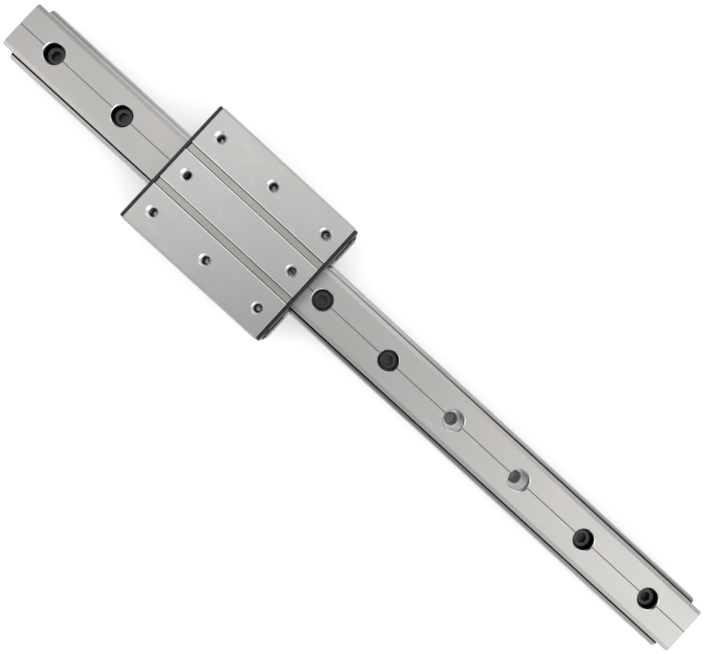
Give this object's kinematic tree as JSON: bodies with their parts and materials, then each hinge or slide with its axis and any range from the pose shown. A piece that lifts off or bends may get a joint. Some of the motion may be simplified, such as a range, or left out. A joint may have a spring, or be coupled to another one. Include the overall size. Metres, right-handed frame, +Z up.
{
  "type": "linear guide carriage",
  "caption": "Linear guide: an aluminium rail with embedded steel shafts, and a flat-topped carriage that rolls along it on grooved bearing rollers between end seals.",
  "frame": {"origin": "middle of the rail's underside: centre of the base of the bounding box", "axes": "+X along the rail, from the end nearer the carriage at rest; +Y across the rail to the left; +Z up from the rail's mounting face"},
  "size_m": [0.503, 0.081, 0.035],
  "materials": {
    "rail_aluminium": "anodised satin",
    "block_aluminium": "fine blasted, anodised",
    "shaft_steel": "ground",
    "bearing_steel": "ground",
    "black_oxide": "black oxide",
    "zinc_steel": "zinc plated",
    "seal_black": "moulded",
    "felt_white": "felt"
  },
  "bodies": {
    "rail": {"rail_extrusion": "rail_aluminium", "shaft_left": "shaft_steel", "shaft_right": "shaft_steel", "rail_screw_1": "black_oxide", "rail_screw_2": "black_oxide", "rail_screw_5": "black_oxide", "rail_screw_6": "black_oxide", "rail_screw_9": "black_oxide", "rail_screw_10": "black_oxide"},
    "carriage": {"carriage_block": "block_aluminium", "end_seal_front": "seal_black", "end_seal_rear": "seal_black", "felt_wiper_front_left": "felt_white", "felt_wiper_front_right": "felt_white", "felt_wiper_rear_left": "felt_white", "felt_wiper_rear_right": "felt_white", "seal_screw_front_left": "black_oxide", "seal_screw_front_right": "black_oxide", "seal_screw_rear_left": "black_oxide", "seal_screw_rear_right": "black_oxide", "washer_front_left": "zinc_steel", "washer_front_right": "zinc_steel", "washer_rear_left": "zinc_steel", "washer_rear_right": "zinc_steel", "stud_front_left": "black_oxide", "stud_rear_left": "black_oxide", "lock_nut_front_right": "black_oxide", "lock_nut_rear_right": "black_oxide", "inner_ring_front_left": "bearing_steel", "inner_ring_rear_left": "bearing_steel"},
    "eccentric_front": {"eccentric_stud_front_right": "black_oxide", "inner_ring_front_right": "bearing_steel"},
    "eccentric_rear": {"eccentric_stud_rear_right": "black_oxide", "inner_ring_rear_right": "bearing_steel"},
    "roller_front_left": {"roller_front_left": "bearing_steel", "shield_top_front_left": "bearing_steel", "shield_bottom_front_left": "bearing_steel"},
    "roller_front_right": {"roller_front_right": "bearing_steel", "shield_top_front_right": "bearing_steel", "shield_bottom_front_right": "bearing_steel"},
    "roller_rear_left": {"roller_rear_left": "bearing_steel", "shield_top_rear_left": "bearing_steel", "shield_bottom_rear_left": "bearing_steel"},
    "roller_rear_right": {"roller_rear_right": "bearing_steel", "shield_top_rear_right": "bearing_steel", "shield_bottom_rear_right": "bearing_steel"},
    "cage_front_left": {"ball_cage_front_left": "bearing_steel"},
    "cage_front_right": {"ball_cage_front_right": "bearing_steel"},
    "cage_rear_left": {"ball_cage_rear_left": "bearing_steel"},
    "cage_rear_right": {"ball_cage_rear_right": "bearing_steel"}
  },
  "joints": [
    {"name": "carriage_slide", "type": "slide", "parent": "rail", "child": "carriage", "axis": [1, 0, 0], "range_m": [-0.1105, 0.2845]},
    {"name": "eccentric_front_adjust", "type": "hinge", "parent": "carriage", "child": "eccentric_front", "pos_m": [-0.0561, -0.027, 0.016], "axis": [0, 0, 1], "range_deg": [0, 35]},
    {"name": "eccentric_rear_adjust", "type": "hinge", "parent": "carriage", "child": "eccentric_rear", "pos_m": [-0.1175, -0.027, 0.016], "axis": [0, 0, 1], "range_deg": [0, 35]},
    {"name": "roller_front_left_spin", "type": "hinge", "parent": "carriage", "child": "roller_front_left", "pos_m": [-0.0566, 0.027, 0.016], "axis": [0, 0, 1], "continuous": true},
    {"name": "cage_front_left_spin", "type": "hinge", "parent": "carriage", "child": "cage_front_left", "pos_m": [-0.0566, 0.027, 0.016], "axis": [0, 0, 1], "continuous": true},
    {"name": "roller_front_right_spin", "type": "hinge", "parent": "eccentric_front", "child": "roller_front_right", "pos_m": [-0.0566, -0.027, 0.016], "axis": [0, 0, 1], "continuous": true},
    {"name": "cage_front_right_spin", "type": "hinge", "parent": "eccentric_front", "child": "cage_front_right", "pos_m": [-0.0566, -0.027, 0.016], "axis": [0, 0, 1], "continuous": true},
    {"name": "roller_rear_left_spin", "type": "hinge", "parent": "carriage", "child": "roller_rear_left", "pos_m": [-0.118, 0.027, 0.016], "axis": [0, 0, 1], "continuous": true},
    {"name": "cage_rear_left_spin", "type": "hinge", "parent": "carriage", "child": "cage_rear_left", "pos_m": [-0.118, 0.027, 0.016], "axis": [0, 0, 1], "continuous": true},
    {"name": "roller_rear_right_spin", "type": "hinge", "parent": "eccentric_rear", "child": "roller_rear_right", "pos_m": [-0.118, -0.027, 0.016], "axis": [0, 0, 1], "continuous": true},
    {"name": "cage_rear_right_spin", "type": "hinge", "parent": "eccentric_rear", "child": "cage_rear_right", "pos_m": [-0.118, -0.027, 0.016], "axis": [0, 0, 1], "continuous": true}
  ],
  "couplings": [
    {"joint": "roller_front_left_spin", "follows": "carriage_slide", "rad_per_m": -116.96},
    {"joint": "cage_front_left_spin", "follows": "carriage_slide", "rad_per_m": -71.368},
    {"joint": "roller_front_right_spin", "follows": "carriage_slide", "rad_per_m": 116.96},
    {"joint": "cage_front_right_spin", "follows": "carriage_slide", "rad_per_m": 71.368},
    {"joint": "roller_rear_left_spin", "follows": "carriage_slide", "rad_per_m": -116.96},
    {"joint": "cage_rear_left_spin", "follows": "carriage_slide", "rad_per_m": -71.368},
    {"joint": "roller_rear_right_spin", "follows": "carriage_slide", "rad_per_m": 116.96},
    {"joint": "cage_rear_right_spin", "follows": "carriage_slide", "rad_per_m": 71.368}
  ]
}
